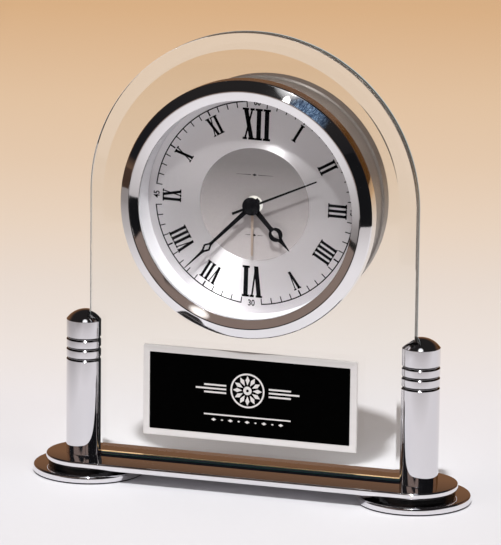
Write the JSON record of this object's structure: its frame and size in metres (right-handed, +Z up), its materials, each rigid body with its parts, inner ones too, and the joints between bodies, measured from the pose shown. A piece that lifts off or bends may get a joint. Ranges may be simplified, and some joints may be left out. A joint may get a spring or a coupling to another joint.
{
  "type": "analogue desk alarm clock",
  "caption": "Analogue quartz alarm clock set in an arched bevelled glass panel, held by two domed chrome posts on a chrome plate with two round feet.",
  "frame": {"origin": "on the table, under the middle of the clock's bounding box", "axes": "+Z up; the dial faces -Y; +X to the right of a person reading the clock"},
  "size_m": [0.1558, 0.0451, 0.1577],
  "materials": {
    "chrome": "mirror-polished chrome plate",
    "post_chrome": "mirror-polished chrome plate",
    "bezel_chrome": "mirror-polished chrome plate",
    "drum_metal": "satin grey metal",
    "dial_silver": "sunburst brushed silver",
    "rehaut_silver": "satin silver",
    "clear_glass": "clear float glass, polished edges",
    "crystal_glass": "clear mineral glass",
    "tag_silver": "satin silver",
    "tag_black": "gloss black lacquer",
    "tape": "clear foam tape",
    "black_plastic": "fine matt texture",
    "black_rubber": "matt",
    "white_plastic": "natural acetal",
    "gear_plastic": "natural acetal",
    "hand_black": "gloss black",
    "hand_gold": "copper bronze",
    "steel": "bright zinc",
    "copper": "enamelled copper wire",
    "brass": "plain",
    "board_green": "solder mask",
    "battery_jacket": "plain printed film"
  },
  "bodies": {
    "clock_body": {"alarm_contact": "brass", "base_plate": "chrome", "battery": "battery_jacket", "bezel_ring": "bezel_chrome", "bridge_screws": "steel", "buzzer": "brass", "circuit_board": "board_green", "coil": "copper", "cover_screws": "steel", "crystal": "crystal_glass", "dial": "dial_silver", "drum_shell": "drum_metal", "engraving_insert": "tag_black", "engraving_plate": "tag_silver", "front_gasket": "black_rubber", "glass_panel": "clear_glass", "left_foot": "chrome", "left_foot_pad": "black_rubber", "left_foot_spacer": "black_plastic", "left_post": "post_chrome", "middle_plate": "white_plastic", "mounting_tape": "tape", "movement_plate": "white_plastic", "negative_contact": "steel", "positive_contact": "steel", "post_screws": "steel", "quartz_can": "steel", "rear_cover": "black_plastic", "rear_gasket": "black_rubber", "rehaut_ring": "rehaut_silver", "right_foot": "chrome", "right_foot_pad": "black_rubber", "right_foot_spacer": "black_plastic", "right_post": "post_chrome", "stator": "steel", "train_bridge": "white_plastic"},
    "second_hand_arbor": {"second_wheel": "gear_plastic", "second_hand": "hand_black"},
    "rotor_arbor": {"rotor": "gear_plastic"},
    "intermediate_arbor": {"intermediate_wheel": "gear_plastic"},
    "third_arbor": {"third_wheel": "gear_plastic"},
    "centre_wheel_ring": {"centre_wheel": "gear_plastic"},
    "minute_hand_pipe": {"minute_pipe": "gear_plastic", "minute_hand": "hand_black"},
    "motion_work": {"motion_wheel": "gear_plastic"},
    "hour_hand_pipe": {"hour_wheel": "gear_plastic", "hour_hand": "hand_black"},
    "alarm_hand_pipe": {"alarm_wheel": "gear_plastic", "alarm_hand": "hand_gold"},
    "time_setter": {"time_set_arbor": "gear_plastic", "time_set_knob": "black_plastic"},
    "alarm_setter": {"alarm_set_arbor": "gear_plastic", "alarm_set_knob": "black_plastic"},
    "alarm_slide_button": {"alarm_switch": "black_plastic"},
    "battery_lid": {"battery_door": "black_plastic"}
  },
  "joints": [
    {"name": "second_hand_turn", "type": "hinge", "parent": "clock_body", "child": "second_hand_arbor", "pos_m": [0, 0.0022, 0.0983], "axis": [0, 1, 0], "continuous": true},
    {"name": "rotor_turn", "type": "hinge", "parent": "clock_body", "child": "rotor_arbor", "pos_m": [-0.01216, 0.0062, 0.09649], "axis": [0, 1, 0], "continuous": true},
    {"name": "intermediate_wheel_turn", "type": "hinge", "parent": "clock_body", "child": "intermediate_arbor", "pos_m": [-0.00676, 0.0072, 0.09649], "axis": [0, 1, 0], "continuous": true},
    {"name": "third_wheel_turn", "type": "hinge", "parent": "clock_body", "child": "third_arbor", "pos_m": [-0.00233, 0.0062, 0.10469], "axis": [0, 1, 0], "continuous": true},
    {"name": "centre_wheel_turn", "type": "hinge", "parent": "clock_body", "child": "centre_wheel_ring", "pos_m": [0, 0.0052, 0.0983], "axis": [0, 1, 0], "continuous": true},
    {"name": "minute_hand_turn", "type": "hinge", "parent": "clock_body", "child": "minute_hand_pipe", "pos_m": [0, 0.0002, 0.0983], "axis": [0, 1, 0], "continuous": true},
    {"name": "motion_wheel_turn", "type": "hinge", "parent": "clock_body", "child": "motion_work", "pos_m": [0.0052, 0.0022, 0.0953], "axis": [0, 1, 0], "continuous": true},
    {"name": "hour_hand_turn", "type": "hinge", "parent": "clock_body", "child": "hour_hand_pipe", "pos_m": [0, -0.0008, 0.0983], "axis": [0, 1, 0], "continuous": true},
    {"name": "time_set_turn", "type": "hinge", "parent": "clock_body", "child": "time_setter", "pos_m": [0.01111, 0.0202, 0.09426], "axis": [0, 1, 0], "continuous": true},
    {"name": "alarm_hand_turn", "type": "hinge", "parent": "clock_body", "child": "alarm_hand_pipe", "pos_m": [0, -0.0018, 0.0983], "axis": [0, 1, 0], "continuous": true},
    {"name": "alarm_set_turn", "type": "hinge", "parent": "clock_body", "child": "alarm_setter", "pos_m": [0.00694, 0.0202, 0.10657], "axis": [0, 1, 0], "continuous": true},
    {"name": "alarm_switch_slide", "type": "slide", "parent": "clock_body", "child": "alarm_slide_button", "axis": [1, 0, 0], "range_m": [0, 0.0036]},
    {"name": "battery_door_lift", "type": "slide", "parent": "clock_body", "child": "battery_lid", "axis": [0, 1, 0], "range_m": [0, 0.02]}
  ],
  "couplings": [
    {"joint": "rotor_turn", "follows": "second_hand_turn", "ratio": 30},
    {"joint": "intermediate_wheel_turn", "follows": "second_hand_turn", "ratio": -6},
    {"joint": "third_wheel_turn", "follows": "second_hand_turn", "ratio": -0.13333},
    {"joint": "centre_wheel_turn", "follows": "second_hand_turn", "ratio": 0.016667},
    {"joint": "motion_wheel_turn", "follows": "minute_hand_turn", "ratio": -0.33333},
    {"joint": "hour_hand_turn", "follows": "minute_hand_turn", "ratio": 0.083333},
    {"joint": "time_set_turn", "follows": "minute_hand_turn", "ratio": 1},
    {"joint": "alarm_set_turn", "follows": "alarm_hand_turn", "ratio": -5}
  ]
}
